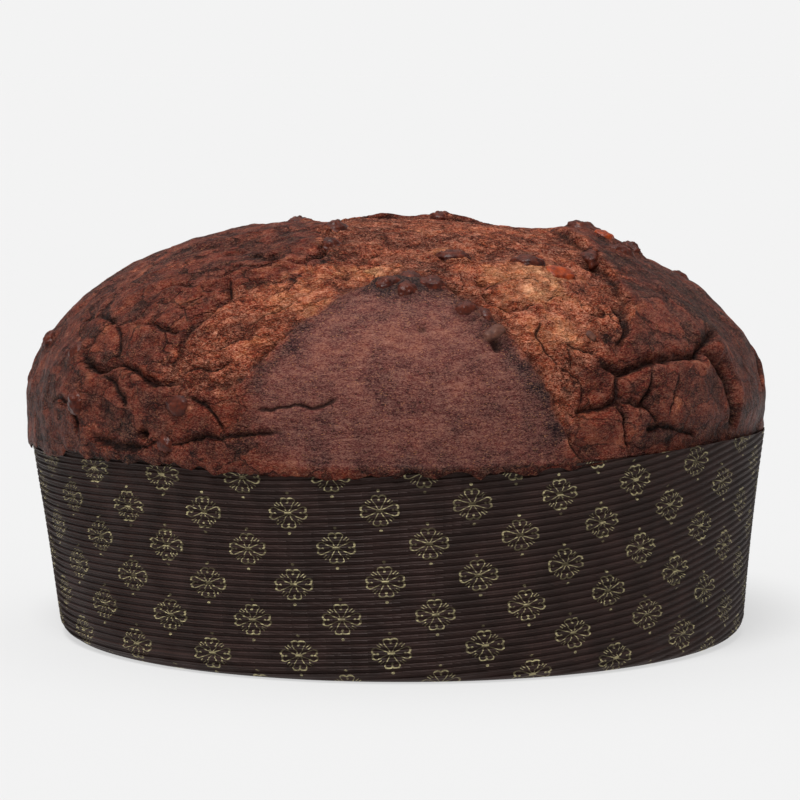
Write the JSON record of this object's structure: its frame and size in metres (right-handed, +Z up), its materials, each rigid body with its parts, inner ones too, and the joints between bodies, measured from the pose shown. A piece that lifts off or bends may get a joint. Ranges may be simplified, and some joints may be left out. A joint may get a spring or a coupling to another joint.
{
  "type": "panettone",
  "caption": "Low round panettone with a torn cross-cut domed crust and dried fruit, standing in its fluted paper baking case.",
  "frame": {"origin": "centre of the case's flat underside, on the surface it stands on", "axes": "+Z up through the dome, -Y to the front, +X to the right seen from the front"},
  "size_m": [0.2224, 0.2225, 0.125],
  "materials": {
    "crust": "baked chocolate-brown crust, satin on the flaps, rough and orange brown where torn",
    "fruit": "raisins and candied peel, moist and glossy",
    "case_paper": "fluted greaseproof baking paper, dark brown with a pale gold print, satin"
  },
  "bodies": {
    "root": {"bread": "crust", "paper_case": "case_paper"}
  },
  "joints": []
}
